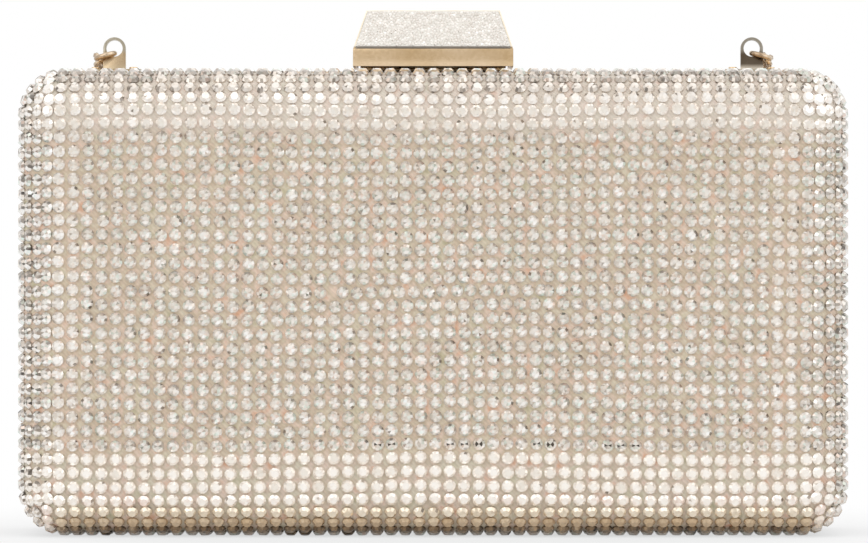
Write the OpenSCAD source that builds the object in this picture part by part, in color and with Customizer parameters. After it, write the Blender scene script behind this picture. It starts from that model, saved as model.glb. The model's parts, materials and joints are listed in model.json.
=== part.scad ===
// Crystal covered box clutch: two round edged half cases hinged along the bottom, gold frames,
// a lift clasp with a sloping crystal face, two chain lugs and a shoulder chain.
// The bag stands on z = 0 with its front towards -Y. The two halves meet at y = 0.

/* [Body] */
// Width of the closed bag over its stones
body_w = 190; // [150:1:240]
// Height of the closed bag over its stones
body_h = 107; // [90:1:140]
// Depth of the closed bag over its stones
body_d = 48; // [44:1:70]
// Radius of the outline's corners and of the edges round the front and back faces
corner_r = 11; // [9:0.5:14]

/* [Case layers] */
// Thickness of the cloth with its stones
skin_t = 1.6; // [1.2:0.1:2]
// Thickness of the moulded shell
shell_t = 1.6; // [1.2:0.1:2]
// Thickness of the padded lining board
lining_t = 1.6; // [1.3:0.1:2]
// Glue film between two layers
glue_t = 0.1; // [0.05:0.05:0.2]

/* [Stones] */
// Distance between the middles of two stones
stone_pitch = 3.2; // [3:0.1:4]
// Radius of a stone
stone_r = 1.3; // [1.1:0.05:1.4]
// Height of a stone above the cloth
stone_h = 1; // [0.8:0.1:1.1]

/* [Frame] */
// Depth of each frame, front to back
frame_d = 3.5; // [3:0.1:5]
// Width of the rim seen when the bag is open
frame_w = 5.6; // [5:0.1:8]
// How far the frame lies below the tops of the stones
frame_inset = 0.4; // [0.2:0.1:0.8]
// Thickness of the lip that holds the shell
frame_lip_t = 0.8; // [0.6:0.1:1.2]
// Depth of the lip that holds the shell
frame_lip_d = 3; // [2:0.5:5]
// Gap between the closed frames
parting_gap = 0.3; // [0.2:0.1:0.6]

/* [Hinge] */
// Length of the hinge
hinge_len = 120; // [80:5:125]
// Number of knuckles, front and back together
knuckle_count = 5; // [3:2:9]
// Outer radius of a knuckle
knuckle_r = 1.7; // [1.5:0.1:1.9]
// Radius of the hinge pin
hinge_pin_r = 0.8; // [0.6:0.1:1]
// Thickness of a hinge leaf
leaf_t = 0.8; // [0.7:0.1:1]
// How far a hinge leaf stops short of the round edge of the shell
leaf_stop = 1; // [0.5:0.5:2]
// Number of rivets in a leaf
leaf_rivet_count = 4; // [2:1:6]
// Shank radius of a leaf rivet
leaf_rivet_r = 0.8; // [0.6:0.1:1]
// Distance of a leaf's rivets from its edge
leaf_rivet_margin = 2.7; // [2:0.1:3]
// Gap between two knuckles
knuckle_gap = 0.2; // [0.1:0.05:0.4]
// Gap between a turning pin and its bore
running_gap = 0.05; // [0.03:0.01:0.08]
// Gap between a fixed pin, rivet or screw and its hole
fixed_gap = 0.02; // [0.01:0.01:0.03]

/* [Clasp] */
// Width of the clasp at its gold bar
clasp_w = 36.7; // [32:0.1:45]
// Width of the clasp at its ridge
clasp_ridge_w = 30.8; // [26:0.1:32]
// Height of the gold bar
clasp_bar_h = 4; // [3.8:0.1:4.4]
// Height of the sloping face above the bar
clasp_face_h = 9.2; // [8:0.1:10]
// Height of the clasp's back wall, up to where the back slopes
clasp_back_h = 4.6; // [4.4:0.1:5]
// How far the sloping face leans back
clasp_lean = 6.8; // [5.5:0.1:7.5]
// Reach of the bar in front of the parting plane
clasp_front = 13.5; // [12.5:0.1:15]
// Reach of the tail behind the parting plane
clasp_rear = 8.2; // [8.2:0.1:8.4]
// Depth of the ledge on top of the bar
clasp_ledge = 0.8; // [0.5:0.1:1.2]
// Depth of the flat ridge
clasp_ridge_d = 1.3; // [1:0.1:2]
// Wall of the clasp cover
clasp_wall = 1; // [0.8:0.1:1.1]
// Wall behind the sloping face
clasp_face_t = 2; // [1.8:0.1:2.4]
// Gap between the clasp and the stones below it
clasp_gap = 0.4; // [0.3:0.1:0.6]
// Height of the clasp pin above the stones
pivot_rise = 3.8; // [3.8:0.1:4]
// Distance of the clasp pin behind the parting plane
pivot_y = 5; // [4.9:0.1:5]
// Radius of the clasp pin
pivot_pin_r = 0.7; // [0.5:0.1:0.8]
// Thickness of the crystal plate
crystal_plate_t = 1.3; // [1.1:0.1:1.6]
// How far the crystal plate stands out of the face
crystal_proud = 0.4; // [0.2:0.1:0.6]
// Gold border round the crystal plate
crystal_border = 0.5; // [0.5:0.1:1.5]

/* [Catch] */
// Width of the hook plate
hook_w = 12; // [11.5:0.5:16]
// Thickness of the hook plate
hook_t = 1; // [0.8:0.1:1.2]
// How far the hook overlaps the strike
hook_bite = 1.5; // [1:0.1:1.7]
// Width of the strike
strike_w = 14; // [12:0.5:17]
// Depth of the strike, front to back
strike_d = 1.2; // [1:0.1:1.5]
// Height of the strike above its foot
strike_h = 2; // [1.8:0.1:2.2]
// Gap between the hook and the strike
hook_gap = 0.3; // [0.2:0.1:0.5]

/* [Lugs] */
// Distance of a chain lug from the side of the bag
lug_inset = 21; // [21:1:40]
// Width of a lug
lug_w = 5.2; // [5:0.1:6]
// Thickness of a lug
lug_t = 1.4; // [1:0.1:1.6]
// Height of the eye's middle above the stones
eye_rise = 5.2; // [5:0.1:6]
// Radius of the eye
eye_r = 1.9; // [1.8:0.1:2]
// Length of a lug's foot
lug_foot_w = 12.4; // [12:0.1:16]

/* [Chain] */
// Outer width of the chain
chain_w = 4.2; // [3.8:0.1:4.2]
// Wire radius of an end ring
ring_wire_r = 0.6; // [0.5:0.1:0.7]
// Radius of an end ring to the middle of its wire
ring_r = 2.2; // [2.1:0.1:2.3]
// Radius of the coil to the middle of the chain
coil_r = 25; // [25:1:30]
// Turns in the coil, both layers together
coil_turns = 7; // [5:1:7]
// Step of the spiral from turn to turn
coil_step = 4.9; // [4.8:0.1:5]

/* [Inside] */
// Width of the slip pocket
pocket_w = 110; // [60:1:130]
// Height of the slip pocket
pocket_h = 62; // [40:1:70]
// Thickness of the slip pocket's cloth
pocket_t = 1; // [0.6:0.1:1.5]

/* [Hidden] */
$fn = 64;

// One overrun for every cut
overrun = 1;

// Core of a half case: the middles of its round edges lie on this box at every depth of layer
half_d = body_d / 2;
mid_z = body_h / 2;
core_x = body_w / 2 - corner_r;
core_y = half_d - corner_r;
core_z = body_h / 2 - corner_r;

// Stones: straight rows over the face, and rings of them round the edges and sides
stone_columns = round(core_x * 2 / stone_pitch);
stone_rows = round(core_z * 2 / stone_pitch);
column_pitch = core_x * 2 / stone_columns;
row_pitch = core_z * 2 / stone_rows;
stone_mid_r = corner_r - stone_h / 2;
bend_run = stone_mid_r * PI / 2;
ring_margin = 0.2;
stone_sides = 24;
cloth_t = skin_t - stone_h;
stone_seat_share = 0.6;
stone_seat = cloth_t * stone_seat_share;

// Depth of each layer's outer face below the tops of the stones
shell_in = skin_t + glue_t;
lining_in = shell_in + shell_t + glue_t;
lining_face_in = lining_in + lining_t;
frame_half_gap = parting_gap / 2;
case_mouth = frame_d + glue_t;
lining_mouth = frame_d + frame_lip_d + glue_t;
ring_run = bend_run + core_y - case_mouth - stone_r - ring_margin;
ring_count = round(ring_run / stone_pitch);
ring_pitch = ring_run / ring_count;
frame_top = body_h - frame_inset;

// The leaves lie on the shells' floor, and the pin runs just below them
leaf_z = lining_in;
leaf_top = leaf_z + leaf_t;
leaf_reach = core_y - leaf_stop;
leaf_sink_share = 0.6;
hinge_z = leaf_z + leaf_sink_share * leaf_t - knuckle_r;
knuckle_pitch = hinge_len / knuckle_count;
knuckle_len = knuckle_pitch - knuckle_gap;
leaf_edge = knuckle_r + parting_gap;
leaf_rivet_y = leaf_reach - leaf_rivet_margin;
leaf_rivet_head_share = 1.8;
leaf_rivet_cone_share = 0.8;
leaf_rivet_head_r = leaf_rivet_r * leaf_rivet_head_share;
leaf_rivet_cone = leaf_t * leaf_rivet_cone_share;
leaf_rivet_pitch = hinge_len / leaf_rivet_count;

// Fasteners that stand on top of a frame
top_rivet_r = 0.6;
top_rivet_head_r = 1;
top_rivet_head_h = 0.5;
top_rivet_depth = 3;
foot_t = 0.8;
foot_y = (frame_d + frame_half_gap) / 2;
foot_d = frame_d - parting_gap * 2;
foot_front = foot_y - foot_d / 2;
foot_rear = foot_y + foot_d / 2;
foot_top = frame_top + foot_t;

// Keeper
keeper_margin = 3;
keeper_foot_w = strike_w + keeper_margin * 2;
keeper_rivet_x = strike_w / 2 + keeper_margin / 2;
strike_top = foot_top + strike_h;

// Clasp: heights, and the planes of its sloping face and back
clasp_z = body_h + clasp_gap;
bar_top = clasp_z + clasp_bar_h;
back_top = clasp_z + clasp_back_h;
ridge_z = bar_top + clasp_face_h;
back_rise = ridge_z - back_top;
face_y = -(clasp_front - clasp_ledge);
ridge_y = face_y + clasp_lean;
face_angle = atan2(clasp_face_h, clasp_lean);
face_len = norm([clasp_lean, clasp_face_h]);
back_run = clasp_rear - ridge_y - clasp_ridge_d;
hollow_front = face_y + clasp_face_t / sin(face_angle);
hollow_rear = clasp_rear - clasp_wall;
hollow_apex_h = (hollow_rear - hollow_front) / (clasp_lean / clasp_face_h + back_run / back_rise);
hollow_h_share = 0.9;
hollow_h = hollow_apex_h * hollow_h_share;
side_slope = (clasp_w - clasp_ridge_w) / 2 / clasp_face_h;

// Pin, tail and base of the clasp: the tail clears the stones as it swings about the pin
pivot_z = body_h + pivot_rise;
swing_gap = 0.3;
tail_swing = pivot_rise - swing_gap;
tail_flat = sqrt(tail_swing * tail_swing - (pivot_z - clasp_z) * (pivot_z - clasp_z));
tail_y = clasp_rear - pivot_y;
tail_drop = sqrt(tail_swing * tail_swing - tail_y * tail_y);
ear_wall = 0.55;
ear_r = pivot_pin_r + ear_wall;
ear_stem_share = 0.9;
ear_t = 1.2;
ear_x = 12;
base_t = 1;
base_top = foot_top + base_t;
base_side_gap = 0.5;
base_w = clasp_w - (clasp_wall + base_side_gap) * 2;
base_rear = pivot_y + ear_r;
base_screw_x = 8;
base_screw_r = 0.7;
base_screw_head_r = 1.3;
base_screw_head_h = 0.7;
base_screw_depth = 3;
pivot_pin_inset = 0.2;

// Hook plate, its claw in front of the strike, and the posts that carry it
strike_front = -foot_rear;
hook_y = strike_front - hook_gap;
hook_low = strike_top - hook_bite;
hook_plate_lift = 0.2;
hook_plate_z = pivot_z + hook_plate_lift;
hook_plate_top = hook_plate_z + hook_t;
hook_reach = 5.4;
post_r = 1.4;
post_x = 3.2;
post_margin = 0.1;
post_y = hook_y - hook_reach + post_r + post_margin;
hook_screw_r = 0.6;
hook_screw_head_r = 1.1;
hook_screw_head_h = 0.6;
hook_screw_depth = 2;

// Torsion spring round the clasp pin
spring_wire_r = 0.3;
spring_slack = 0.2;
spring_bore_r = pivot_pin_r + spring_slack;
spring_outer_r = spring_bore_r + spring_wire_r * 2;
spring_w = hook_w - spring_wire_r * 2;
spring_leg_x = hook_w / 2 - spring_wire_r - spring_slack / 2;
spring_seat = 0.05;

// Crystal plate, drawn in the plane of the sloping face
plate_sink = crystal_plate_t - crystal_proud;
plate_low = crystal_border;
plate_high = face_len - crystal_border;

// Lug and end ring
lug_x = body_w / 2 - lug_inset;
eye_z = body_h + eye_rise;
lug_rivet_x = (lug_foot_w / 2 + lug_w / 2) / 2;
ring_dip = 16;
ring_drop = 1.1;

// Slip pocket on the back lining
pocket_lift = 8;
pocket_z = lining_face_in + pocket_lift;

// Route of the chain from a lug, over the back edge, down the back and along the floor
drop_route = [
    [77.6, 4.9, 109.8], [77.8, 8.4, 109.7], [78, 12.8, 109.6], [78, 17.2, 109.2],
    [78, 21.6, 107], [78, 25, 103], [78, 26.6, 97.6], [78, 26.8, 88], [78, 26.8, 78],
    [78, 26.8, 68], [78, 26.8, 58], [78, 26.8, 48], [78, 26.8, 38], [78, 26.8, 28],
    [78, 26.8, 18], [77.4, 27, 10], [74.8, 27.6, 5], [70.5, 28.4, 2.6], [63, 29.6, 2.2],
    [54, 30.6, 2.2], [44, 31, 2.2], [34, 31, 2.2]];
left_floor_route = [[24, 31, 2.2], [14, 31, 2.2], [4.2, 31, 2.2]];
right_floor_route = [[26, 31, 2.8], [20, 31, 4.6], [14, 31, 6.4], [9, 31, 6.9], [4.2, 31, 6.9]];
coil_lead = 4.2;
lead_y = 31;
coil_y = lead_y + coil_r;
coil_rings = 24;
coil_sides = 6;
layer_gap = 0.5;
coil_low = 2.2;
coil_high = coil_low + chain_w + layer_gap;
climb_turns = 0.5;

function unit(v) = v / norm(v);
function tangents(p) = [for (i = [0 : len(p) - 1])
    unit(p[min(i + 1, len(p) - 1)] - p[max(i - 1, 0)])];
function square_to(v, t) = unit(v - (v * t) * t);
function carried_normals(t, first) = [for (i = 0, n = square_to(first, t[0]); i < len(t);
    i = i + 1, n = i < len(t) ? square_to(n, t[i]) : n) n];
function length_of(p) = len(p) < 2 ? 0 : [for (i = [1 : len(p) - 1]) norm(p[i] - p[i - 1])]
    * [for (i = [1 : len(p) - 1]) 1];

// The coil runs in, climbs a layer in the half turn where it reverses, and runs out again
function coil_radius(turn) = coil_r - coil_step * min(turn, coil_turns - turn);
function coil_height(turn) = coil_low + (coil_high - coil_low)
    * max(0, min(1, (turn - (coil_turns - climb_turns) / 2) / climb_turns));
coil_route = concat(
    [[-coil_lead, coil_y - coil_r, coil_low]],
    [for (i = [0 : coil_turns * coil_rings])
        let (turn = i / coil_rings, angle = turn * 360 - 90)
        [coil_radius(turn) * cos(angle), coil_y + coil_radius(turn) * sin(angle), coil_height(turn)]],
    [[coil_lead, coil_y - coil_r, coil_high]]);
left_route = [for (p = concat(drop_route, left_floor_route)) [-p[0], p[1], p[2]]];
right_route = concat(drop_route, right_floor_route);
chain_length = length_of(left_route) + length_of(coil_route) + length_of(right_route);
coil_gap = min([for (i = [0 : len(coil_route) - 1]) for (j = [i + coil_rings / 2 : len(coil_route) - 1])
    norm(coil_route[i] - coil_route[j])]) - chain_w;
echo("Length of the chain in mm", chain_length);
echo("Least gap between the turns of the coil in mm", coil_gap);

// Section of a half case's edge: flat outside, round towards the front
module edge_section(r, run) {
    difference() {
        translate([0, -run])
            square([r, run + r]);
        difference() {
            square([r + overrun, r + overrun]);
            circle(r = r);
        }
    }
}

// Section of an edge with a band for each ring of stones
module stone_section(run) {
    edge_section(corner_r - stone_h, run);
    for (k = [1 : ring_count])
        let (along = k * ring_pitch)
            if (along < bend_run)
                intersection() {
                    circle(r = corner_r);
                    rotate(-along / bend_run * 90)
                        translate([-stone_r, corner_r - skin_t])
                            square([stone_r * 2, skin_t]);
                }
            else
                translate([0, bend_run - along - stone_r])
                    square([corner_r, stone_r * 2]);
}

// Half case whose sides and corners follow the section given, with a flat front of radius r
module case_form(r, rear) {
    translate([0, 0, mid_z]) {
        translate([-core_x, -core_y - r, -core_z])
            cube([core_x * 2, core_y + r + rear, core_z * 2]);
        for (side = [0, 1]) {
            mirror([side, 0, 0])
                translate([core_x, -core_y, 0])
                    mirror([0, 1, 0])
                        linear_extrude(height = core_z * 2, center = true)
                            children();
            mirror([0, 0, side])
                translate([0, -core_y, core_z])
                    rotate([0, -90, 0])
                        mirror([0, 1, 0])
                            linear_extrude(height = core_x * 2, center = true)
                                children();
            for (end = [0, 1])
                mirror([side, 0, 0])
                    mirror([0, 0, end])
                        translate([core_x, -core_y, core_z])
                            rotate([90, 0, 0])
                                rotate_extrude(angle = 90)
                                    children();
        }
    }
}

// Block inside a half case, set in from the tops of the stones
module case_block(inset, rear) {
    case_form(corner_r - inset, rear)
        edge_section(corner_r - inset, core_y + rear);
}

// One layer of a half case, open at the parting plane
module case_layer(inset, t, mouth) {
    difference() {
        case_block(inset, -mouth);
        case_block(inset + t, overrun);
    }
}

// Cloth with its stones: rows on the face and bands round the edges
module stone_layer() {
    difference() {
        case_form(corner_r - stone_h, -case_mouth)
            stone_section(core_y - case_mouth);
        case_block(skin_t, overrun);
    }
    translate([0, stone_h + stone_seat - half_d, mid_z])
        rotate([90, 0, 0])
            linear_extrude(height = stone_h + stone_seat)
                for (i = [0 : stone_columns])
                    for (j = [0 : stone_rows])
                        translate([i * column_pitch - core_x, j * row_pitch - core_z])
                            circle(r = stone_r, $fn = stone_sides);
}

// Flat plate with the bag's outline, set in from the tops of the stones
module outline_plate(inset, front, rear) {
    r = corner_r - inset;
    t = rear - front;
    translate([0, front, mid_z]) {
        translate([-core_x, 0, -core_z])
            cube([core_x * 2, t, core_z * 2]);
        for (side = [0, 1]) {
            mirror([side, 0, 0])
                translate([core_x, 0, -core_z])
                    cube([r, t, core_z * 2]);
            mirror([0, 0, side])
                translate([-core_x, 0, core_z])
                    cube([core_x * 2, t, r]);
            for (end = [0, 1])
                mirror([side, 0, 0])
                    mirror([0, 0, end])
                        translate([core_x, t, core_z])
                            rotate([90, 0, 0])
                                rotate_extrude(angle = 90)
                                    square([r, t]);
        }
    }
}

module outline_ring(inset, w, front, rear) {
    difference() {
        outline_plate(inset, front, rear);
        outline_plate(inset + w, front - overrun, rear + overrun);
    }
}

// Bar along X from a profile drawn in Y and Z
module bar_along_x(w) {
    rotate([90, 0, 90])
        linear_extrude(height = w, center = true)
            children();
}

// Copies to the left and to the right
module both_sides(x) {
    for (side = [-1, 1])
        translate([side * x, 0, 0])
            children();
}

module rod_along_x(r, w) {
    rotate([0, 90, 0])
        cylinder(r = r, h = w, center = true);
}

// Frame of the front half, with room for the hinge and a groove that lets the halves roll apart
module frame_half() {
    groove = hinge_z + parting_gap;
    difference() {
        union() {
            outline_ring(frame_inset, frame_w, -frame_d, -frame_half_gap);
            outline_ring(lining_in, frame_lip_t, -frame_d - frame_lip_d, -frame_d);
        }
        translate([-hinge_len / 2 - parting_gap, -lining_mouth - overrun, -overrun])
            cube([hinge_len + parting_gap * 2, lining_mouth + overrun * 2, leaf_top + glue_t + overrun]);
        bar_along_x(body_w + overrun)
            polygon([[-groove - overrun, -overrun], [groove + overrun, -overrun], [0, groove]]);
    }
}

module leaf_rivet_places() {
    for (i = [0 : leaf_rivet_count - 1])
        translate([(i + 0.5) * leaf_rivet_pitch - hinge_len / 2, -leaf_rivet_y, 0])
            children();
}

// Countersunk rivet through a leaf and the shell's floor, or its hole when it is made larger
module leaf_rivet(gap) {
    translate([0, 0, shell_in - (gap > 0 ? overrun : 0)])
        cylinder(r = leaf_rivet_r + gap, h = leaf_top - shell_in + (gap > 0 ? overrun : 0));
    translate([0, 0, leaf_top - leaf_rivet_cone])
        cylinder(r1 = leaf_rivet_r + gap, r2 = leaf_rivet_head_r + gap, h = leaf_rivet_cone);
}

module shell_half() {
    difference() {
        case_layer(shell_in, shell_t, case_mouth);
        leaf_rivet_places()
            leaf_rivet(fixed_gap);
    }
}

module lining_half() {
    difference() {
        case_layer(lining_in, lining_t, lining_mouth);
        translate([-hinge_len / 2 - parting_gap, -leaf_reach - parting_gap, -overrun])
            cube([hinge_len + parting_gap * 2, leaf_reach, leaf_top + glue_t + overrun]);
    }
}

// Hinge leaf of the front half: fingers join the plate to every second knuckle
module hinge_leaf(first, bore_gap) {
    difference() {
        union() {
            translate([-hinge_len / 2, -leaf_reach, leaf_z])
                cube([hinge_len, leaf_reach - leaf_edge, leaf_t]);
            for (i = [first : 2 : knuckle_count - 1])
                translate([(i + 0.5) * knuckle_pitch - hinge_len / 2, 0, 0]) {
                    translate([0, 0, hinge_z])
                        rod_along_x(knuckle_r, knuckle_len);
                    translate([-knuckle_len / 2, -leaf_edge - knuckle_r / 2, leaf_z])
                        cube([knuckle_len, leaf_edge + knuckle_r / 2 - frame_half_gap, leaf_t]);
                }
        }
        translate([0, 0, hinge_z])
            rod_along_x(hinge_pin_r + bore_gap, hinge_len + overrun);
        leaf_rivet_places()
            leaf_rivet(fixed_gap);
    }
}

module leaf_rivets() {
    leaf_rivet_places()
        leaf_rivet(0);
}

// Headed pin that goes down through a foot into the top of a frame
module top_pin(r, top, depth, head_r, head_h) {
    translate([0, 0, top - depth])
        cylinder(r = r, h = depth);
    translate([0, 0, top])
        cylinder(r = head_r, h = head_h);
}

module top_hole(r, depth) {
    translate([0, 0, frame_top - depth])
        cylinder(r = r + fixed_gap, h = depth + body_h);
}

module front_shell() {
    color("#cfc4b4")
        shell_half();
}

module front_crystal_skin() {
    color("#d9cfc2")
        stone_layer();
}

module front_frame() {
    color("#dcc08c")
        difference() {
            frame_half();
            both_sides(keeper_rivet_x)
                translate([0, -foot_y, 0])
                    top_hole(top_rivet_r, top_rivet_depth);
        }
}

module front_lining() {
    color("#c9b8a0")
        lining_half();
}

module front_hinge_leaf() {
    color("#cdb07a")
        hinge_leaf(1, running_gap);
}

module front_leaf_rivets() {
    color("#e6cf9c")
        leaf_rivets();
}

// Foot on the front frame with the strike that the hook bears on
module clasp_keeper() {
    color("#d6bb84")
        difference() {
            union() {
                translate([-keeper_foot_w / 2, -foot_rear, frame_top])
                    cube([keeper_foot_w, foot_d, foot_t]);
                translate([-strike_w / 2, strike_front, frame_top])
                    cube([strike_w, strike_d, foot_t + strike_h]);
            }
            both_sides(keeper_rivet_x)
                translate([0, -foot_y, 0])
                    top_hole(top_rivet_r, top_rivet_depth);
        }
}

module keeper_rivets() {
    color("#f0dcae")
        both_sides(keeper_rivet_x)
            translate([0, -foot_y, 0])
                top_pin(top_rivet_r, foot_top, top_rivet_depth, top_rivet_head_r, top_rivet_head_h);
}

module back_shell() {
    color("#cfc4b4")
        mirror([0, 1, 0])
            shell_half();
}

module back_crystal_skin() {
    color("#d9cfc2")
        mirror([0, 1, 0])
            stone_layer();
}

module back_frame() {
    color("#dcc08c")
        difference() {
            mirror([0, 1, 0])
                frame_half();
            both_sides(base_screw_x)
                translate([0, foot_y, 0])
                    top_hole(base_screw_r, base_screw_depth);
            both_sides(lug_x)
                both_sides(lug_rivet_x)
                    translate([0, foot_y, 0])
                        top_hole(top_rivet_r, top_rivet_depth);
        }
}

module back_lining() {
    color("#c9b8a0")
        mirror([0, 1, 0])
            lining_half();
}

module slip_pocket() {
    color("#bda98e")
        translate([-pocket_w / 2, half_d - lining_face_in - glue_t - pocket_t, pocket_z])
            cube([pocket_w, pocket_t, pocket_h]);
}

module back_hinge_leaf() {
    color("#cdb07a")
        mirror([0, 1, 0])
            hinge_leaf(0, fixed_gap);
}

module back_leaf_rivets() {
    color("#e6cf9c")
        mirror([0, 1, 0])
            leaf_rivets();
}

module hinge_pin() {
    color("#e8e2d6")
        translate([0, 0, hinge_z])
            rod_along_x(hinge_pin_r, hinge_len - knuckle_gap);
}

// Bracket on the back frame: a foot, a plate above the stones and two ears for the pin
module clasp_base() {
    color("#d6bb84")
        difference() {
            union() {
                translate([-base_w / 2, foot_front, frame_top])
                    cube([base_w, foot_d, foot_t + base_t]);
                translate([-base_w / 2, foot_front, foot_top])
                    cube([base_w, base_rear - foot_front, base_t]);
                both_sides(ear_x + ear_t / 2) {
                    translate([-ear_t / 2, pivot_y - ear_r * ear_stem_share, foot_top])
                        cube([ear_t, ear_r * ear_stem_share * 2, pivot_z - foot_top]);
                    translate([0, pivot_y, pivot_z])
                        rod_along_x(ear_r, ear_t);
                }
            }
            translate([0, pivot_y, pivot_z])
                rod_along_x(pivot_pin_r + fixed_gap, base_w + overrun);
            both_sides(base_screw_x)
                translate([0, foot_y, 0])
                    top_hole(base_screw_r, base_screw_depth);
        }
}

module clasp_base_screws() {
    color("#f0dcae")
        both_sides(base_screw_x)
            translate([0, foot_y, 0])
                top_pin(base_screw_r, base_top, base_screw_depth, base_screw_head_r, base_screw_head_h);
}

module clasp_pivot_pin() {
    color("#e8e2d6")
        translate([0, pivot_y, pivot_z])
            rod_along_x(pivot_pin_r, clasp_w - pivot_pin_inset * 2);
}

// Coils round the pin, one leg down on the base and one forward on top of the hook plate
module clasp_spring() {
    leg_z = hook_plate_top + spring_seat + spring_wire_r;
    leg_y = pivot_y + spring_outer_r - spring_wire_r;
    color("#b9bcc0")
        difference() {
            union() {
                translate([0, pivot_y, pivot_z])
                    rod_along_x(spring_outer_r, spring_w);
                translate([spring_leg_x, pivot_y, leg_z])
                    rotate([90, 0, 0])
                        cylinder(r = spring_wire_r, h = pivot_y - hook_y + hook_t);
                translate([-spring_leg_x, leg_y, base_top + spring_seat])
                    cylinder(r = spring_wire_r, h = pivot_z - base_top - spring_seat);
            }
            translate([0, pivot_y, pivot_z])
                rod_along_x(spring_bore_r, spring_w + overrun);
        }
}

// Block with a smaller top than bottom, whose bottom may lie higher at the rear than in front
module tapered_block(low_y, low_half_w, high_y, high_half_w, low_z, high_z) {
    low = [for (p = [[-1, 0], [1, 0], [1, 1], [-1, 1]]) [p[0] * low_half_w, low_y[p[1]], low_z[p[1]]]];
    high = [for (p = [[-1, 0], [1, 0], [1, 1], [-1, 1]]) [p[0] * high_half_w, high_y[p[1]], high_z]];
    polyhedron(
        points = concat(low, high),
        faces = [[0, 1, 2, 3], [7, 6, 5, 4], [4, 5, 1, 0], [5, 6, 2], [5, 2, 1], [6, 7, 3, 2],
            [4, 0, 3], [7, 4, 3]]);
}

module clasp_outside() {
    bar_along_x(clasp_w)
        polygon([
            [-clasp_front, clasp_z],
            [-clasp_front, bar_top],
            [face_y, bar_top],
            [clasp_rear, back_top],
            [clasp_rear, pivot_z - tail_drop],
            [pivot_y + tail_flat, clasp_z]]);
    tapered_block([face_y, clasp_rear], clasp_w / 2, [ridge_y, ridge_y + clasp_ridge_d],
        clasp_ridge_w / 2, [bar_top, back_top], ridge_z);
}

module clasp_hollow() {
    low_half_w = clasp_w / 2 - clasp_wall;
    bar_along_x(low_half_w * 2)
        polygon([
            [-clasp_front + clasp_wall, clasp_z - overrun],
            [-clasp_front + clasp_wall, bar_top - clasp_wall],
            [hollow_front, bar_top],
            [hollow_rear, bar_top],
            [hollow_rear, clasp_z - overrun]]);
    tapered_block([hollow_front, hollow_rear], low_half_w,
        [hollow_front + hollow_h * clasp_lean / clasp_face_h,
            hollow_rear - hollow_h * back_run / back_rise],
        low_half_w - hollow_h * side_slope, [bar_top, bar_top], bar_top + hollow_h);
}

// Crystal plate's slab in the plane of the sloping face, or its seat when it is made larger
module face_slab(gap, t, out) {
    function half_w(along) = clasp_w / 2 - crystal_border
        - (clasp_w - clasp_ridge_w) / 2 * along / face_len;
    translate([0, face_y, bar_top])
        rotate([face_angle, 0, 0])
            translate([0, 0, out - t])
                linear_extrude(height = t)
                    polygon([
                        [-half_w(plate_low) - gap, plate_low - gap],
                        [half_w(plate_low) + gap, plate_low - gap],
                        [half_w(plate_high) + gap, plate_high + gap],
                        [-half_w(plate_high) - gap, plate_high + gap]]);
}

module clasp_cover() {
    color("#dcc08c")
        difference() {
            union() {
                difference() {
                    clasp_outside();
                    clasp_hollow();
                }
                intersection() {
                    clasp_outside();
                    both_sides(post_x)
                        translate([0, post_y, hook_plate_top])
                            cylinder(r = post_r, h = ridge_z - hook_plate_top);
                }
            }
            face_slab(glue_t, plate_sink + glue_t + overrun, overrun);
            translate([0, pivot_y, pivot_z])
                rod_along_x(pivot_pin_r + running_gap, clasp_w + overrun);
            both_sides(post_x)
                translate([0, post_y, hook_plate_z])
                    cylinder(r = hook_screw_r + fixed_gap, h = hook_t + hook_screw_depth);
        }
}

module clasp_crystal_plate() {
    color("#e9e9ee")
        face_slab(0, crystal_plate_t, crystal_proud);
}

// Plate screwed to the posts, with a claw that stands in front of the strike
module clasp_hook() {
    color("#c9ccd0")
        difference() {
            union() {
                translate([-hook_w / 2, hook_y - hook_reach, hook_plate_z])
                    cube([hook_w, hook_reach, hook_t]);
                translate([-hook_w / 2, hook_y - hook_t, hook_low])
                    cube([hook_w, hook_t, hook_plate_top - hook_low]);
            }
            both_sides(post_x)
                translate([0, post_y, hook_plate_z - overrun])
                    cylinder(r = hook_screw_r + fixed_gap, h = hook_t + overrun * 2);
        }
}

module hook_screws() {
    color("#d9dade")
        both_sides(post_x)
            translate([0, post_y, hook_plate_z]) {
                cylinder(r = hook_screw_r, h = hook_t + hook_screw_depth - fixed_gap);
                translate([0, 0, -hook_screw_head_h])
                    cylinder(r = hook_screw_head_r, h = hook_screw_head_h);
            }
}

// Foot on the back frame and an upright plate with a round eye
module chain_lug() {
    color("#e0c793")
        difference() {
            union() {
                translate([-lug_foot_w / 2, foot_front, frame_top])
                    cube([lug_foot_w, foot_d, foot_t]);
                translate([-lug_w / 2, foot_y - lug_t / 2, frame_top])
                    cube([lug_w, lug_t, eye_z - frame_top]);
                translate([0, foot_y + lug_t / 2, eye_z])
                    rotate([90, 0, 0])
                        cylinder(r = lug_w / 2, h = lug_t);
            }
            translate([0, foot_y + lug_t, eye_z])
                rotate([90, 0, 0])
                    cylinder(r = eye_r, h = lug_t * 2);
            both_sides(lug_rivet_x)
                translate([0, foot_y, 0])
                    top_hole(top_rivet_r, top_rivet_depth);
        }
}

module left_chain_lug() {
    translate([-lug_x, 0, 0])
        chain_lug();
}

module right_chain_lug() {
    translate([lug_x, 0, 0])
        chain_lug();
}

module lug_rivets() {
    color("#f0dcae")
        both_sides(lug_x)
            both_sides(lug_rivet_x)
                translate([0, foot_y, 0])
                    top_pin(top_rivet_r, foot_top, top_rivet_depth, top_rivet_head_r, top_rivet_head_h);
}

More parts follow.
